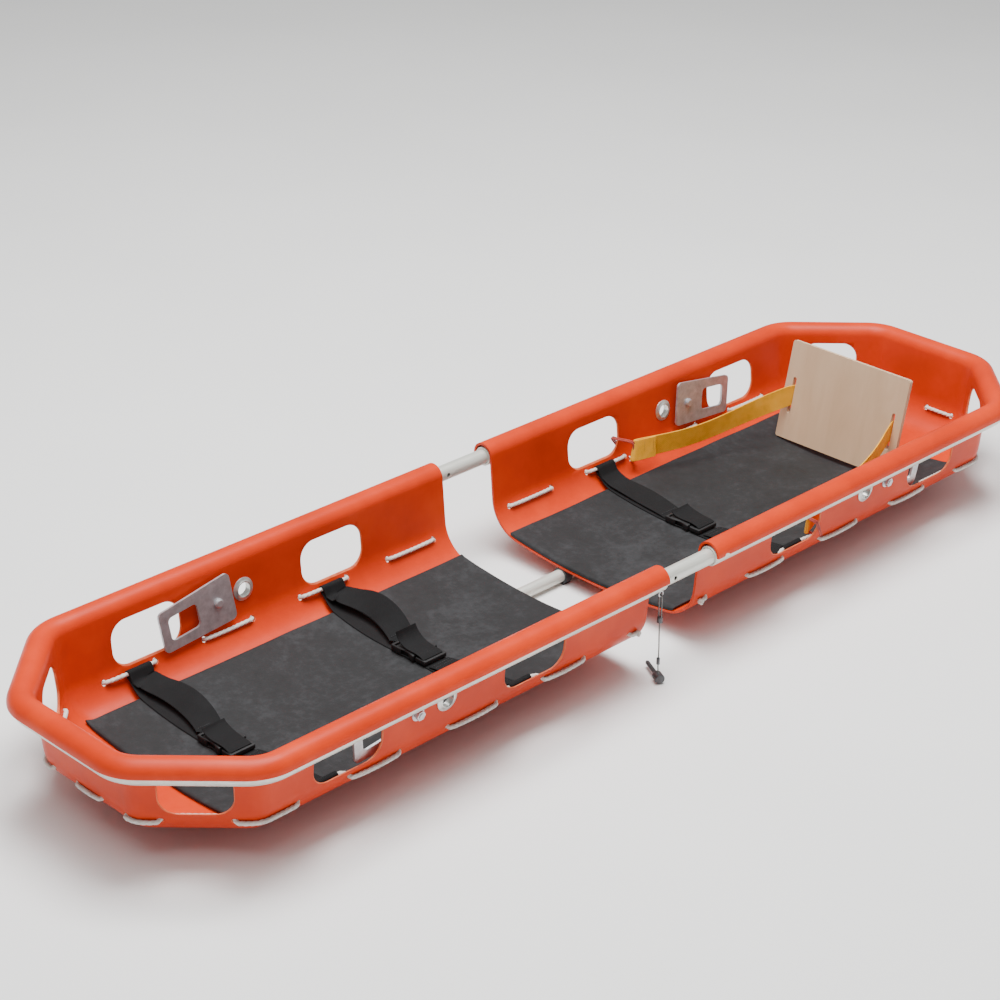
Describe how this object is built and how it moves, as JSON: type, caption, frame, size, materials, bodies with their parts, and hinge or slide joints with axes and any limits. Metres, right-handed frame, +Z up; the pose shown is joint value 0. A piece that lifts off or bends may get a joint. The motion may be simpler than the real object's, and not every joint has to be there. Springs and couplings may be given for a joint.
{
  "type": "two-piece basket stretcher",
  "caption": "Plastic basket stretcher in two halves on sliding tube joints, with rope lacing, floor mats, body straps, lifting plates and an adjustable footrest.",
  "frame": {"origin": "on the ground, at the centre of the stretcher: midway between its two ends and its two sides at rest", "axes": "+X along the stretcher towards the footrest end, +Y across it to the left of someone looking along +X, +Z up"},
  "size_m": [2.2898, 0.628, 0.2597],
  "materials": {
    "shell_plastic": "semi-gloss moulded plastic, fine orange-peel texture",
    "tube_metal": "light satin tube",
    "foot_plastic": "matte",
    "plate_steel": "dull zinc grey",
    "mat_foam": "dull closed-cell foam, mottled",
    "rope_fibre": "laid rope",
    "strap_webbing": "woven webbing",
    "buckle_plastic": "moulded",
    "board_plastic": "smooth beige board",
    "footrest_webbing": "woven webbing",
    "loop_cord": "braided cord",
    "wire_steel": "twisted wire and machined pin",
    "crimp_steel": "dark"
  },
  "bodies": {
    "left_half": {"left_shell": "shell_plastic", "left_rim_tube": "tube_metal", "left_runners": "tube_metal", "left_runner_feet": "foot_plastic", "left_runner_saddles": "plate_steel", "left_saddle_rivets": "plate_steel", "left_mat": "mat_foam", "left_rope": "rope_fibre", "left_grommets": "plate_steel", "left_plate_spacers": "plate_steel", "left_plate_bolts": "plate_steel", "left_plate_nuts": "plate_steel", "rim_spigots": "tube_metal", "keel_spigots": "tube_metal", "head_strap_far": "strap_webbing", "head_strap_near": "strap_webbing", "head_buckle_socket": "buckle_plastic", "chest_strap_far": "strap_webbing", "chest_strap_near": "strap_webbing", "chest_buckle_socket": "buckle_plastic", "lanyard_eye": "wire_steel", "lanyard_loop": "wire_steel", "lanyard_upper_crimp": "crimp_steel", "pin_lanyard": "wire_steel", "lanyard_lower_crimp": "crimp_steel", "locking_pin": "wire_steel"},
    "right_half": {"right_shell": "shell_plastic", "right_rim_tube": "tube_metal", "right_runners": "tube_metal", "right_runner_feet": "foot_plastic", "right_runner_saddles": "plate_steel", "right_saddle_rivets": "plate_steel", "right_mat": "mat_foam", "right_rope": "rope_fibre", "right_grommets": "plate_steel", "right_plate_spacers": "plate_steel", "right_plate_bolts": "plate_steel", "right_plate_nuts": "plate_steel", "leg_strap_far": "strap_webbing", "leg_strap_near": "strap_webbing", "leg_buckle_socket": "buckle_plastic", "footrest_far_strap": "footrest_webbing", "footrest_near_strap": "footrest_webbing", "footrest_loops": "loop_cord"},
    "left_far_plate": {"left_far_plate": "plate_steel"},
    "left_near_plate": {"left_near_plate": "plate_steel"},
    "right_far_plate": {"right_far_plate": "plate_steel"},
    "right_near_plate": {"right_near_plate": "plate_steel"},
    "footrest": {"footrest_board": "board_plastic", "footrest_back_strap": "footrest_webbing"},
    "head_buckle": {"head_buckle_tongue": "buckle_plastic"},
    "chest_buckle": {"chest_buckle_tongue": "buckle_plastic"},
    "leg_buckle": {"leg_buckle_tongue": "buckle_plastic"}
  },
  "joints": [
    {"name": "halves_slide", "type": "slide", "parent": "left_half", "child": "right_half", "axis": [1, 0, 0], "range_m": [-0.1295, 0.06]},
    {"name": "left_far_plate_hinge", "type": "hinge", "parent": "left_half", "child": "left_far_plate", "pos_m": [-0.625, 0.26175, 0.15], "axis": [0, 0.9961, -0.0879], "range_deg": [0, 75]},
    {"name": "left_near_plate_hinge", "type": "hinge", "parent": "left_half", "child": "left_near_plate", "pos_m": [-0.625, -0.26175, 0.15], "axis": [0, 0.9961, 0.0879], "range_deg": [0, 75]},
    {"name": "right_far_plate_hinge", "type": "hinge", "parent": "right_half", "child": "right_far_plate", "pos_m": [0.625, 0.26175, 0.15], "axis": [0, -0.9961, 0.0879], "range_deg": [0, 75]},
    {"name": "right_near_plate_hinge", "type": "hinge", "parent": "right_half", "child": "right_near_plate", "pos_m": [0.625, -0.26175, 0.15], "axis": [0, -0.9961, -0.0879], "range_deg": [0, 75]},
    {"name": "footrest_slide", "type": "slide", "parent": "right_half", "child": "footrest", "axis": [1, 0, 0], "range_m": [-0.1, 0.08], "deforming": ["footrest_far_strap", "footrest_near_strap"]},
    {"name": "head_buckle_slide", "type": "slide", "parent": "left_half", "child": "head_buckle", "axis": [0, -1, 0], "range_m": [0, 0.034], "deforming": ["head_strap_near"]},
    {"name": "chest_buckle_slide", "type": "slide", "parent": "left_half", "child": "chest_buckle", "axis": [0, -1, 0], "range_m": [0, 0.034], "deforming": ["chest_strap_near"]},
    {"name": "leg_buckle_slide", "type": "slide", "parent": "right_half", "child": "leg_buckle", "axis": [0, -1, 0], "range_m": [0, 0.034], "deforming": ["leg_strap_near"]}
  ]
}
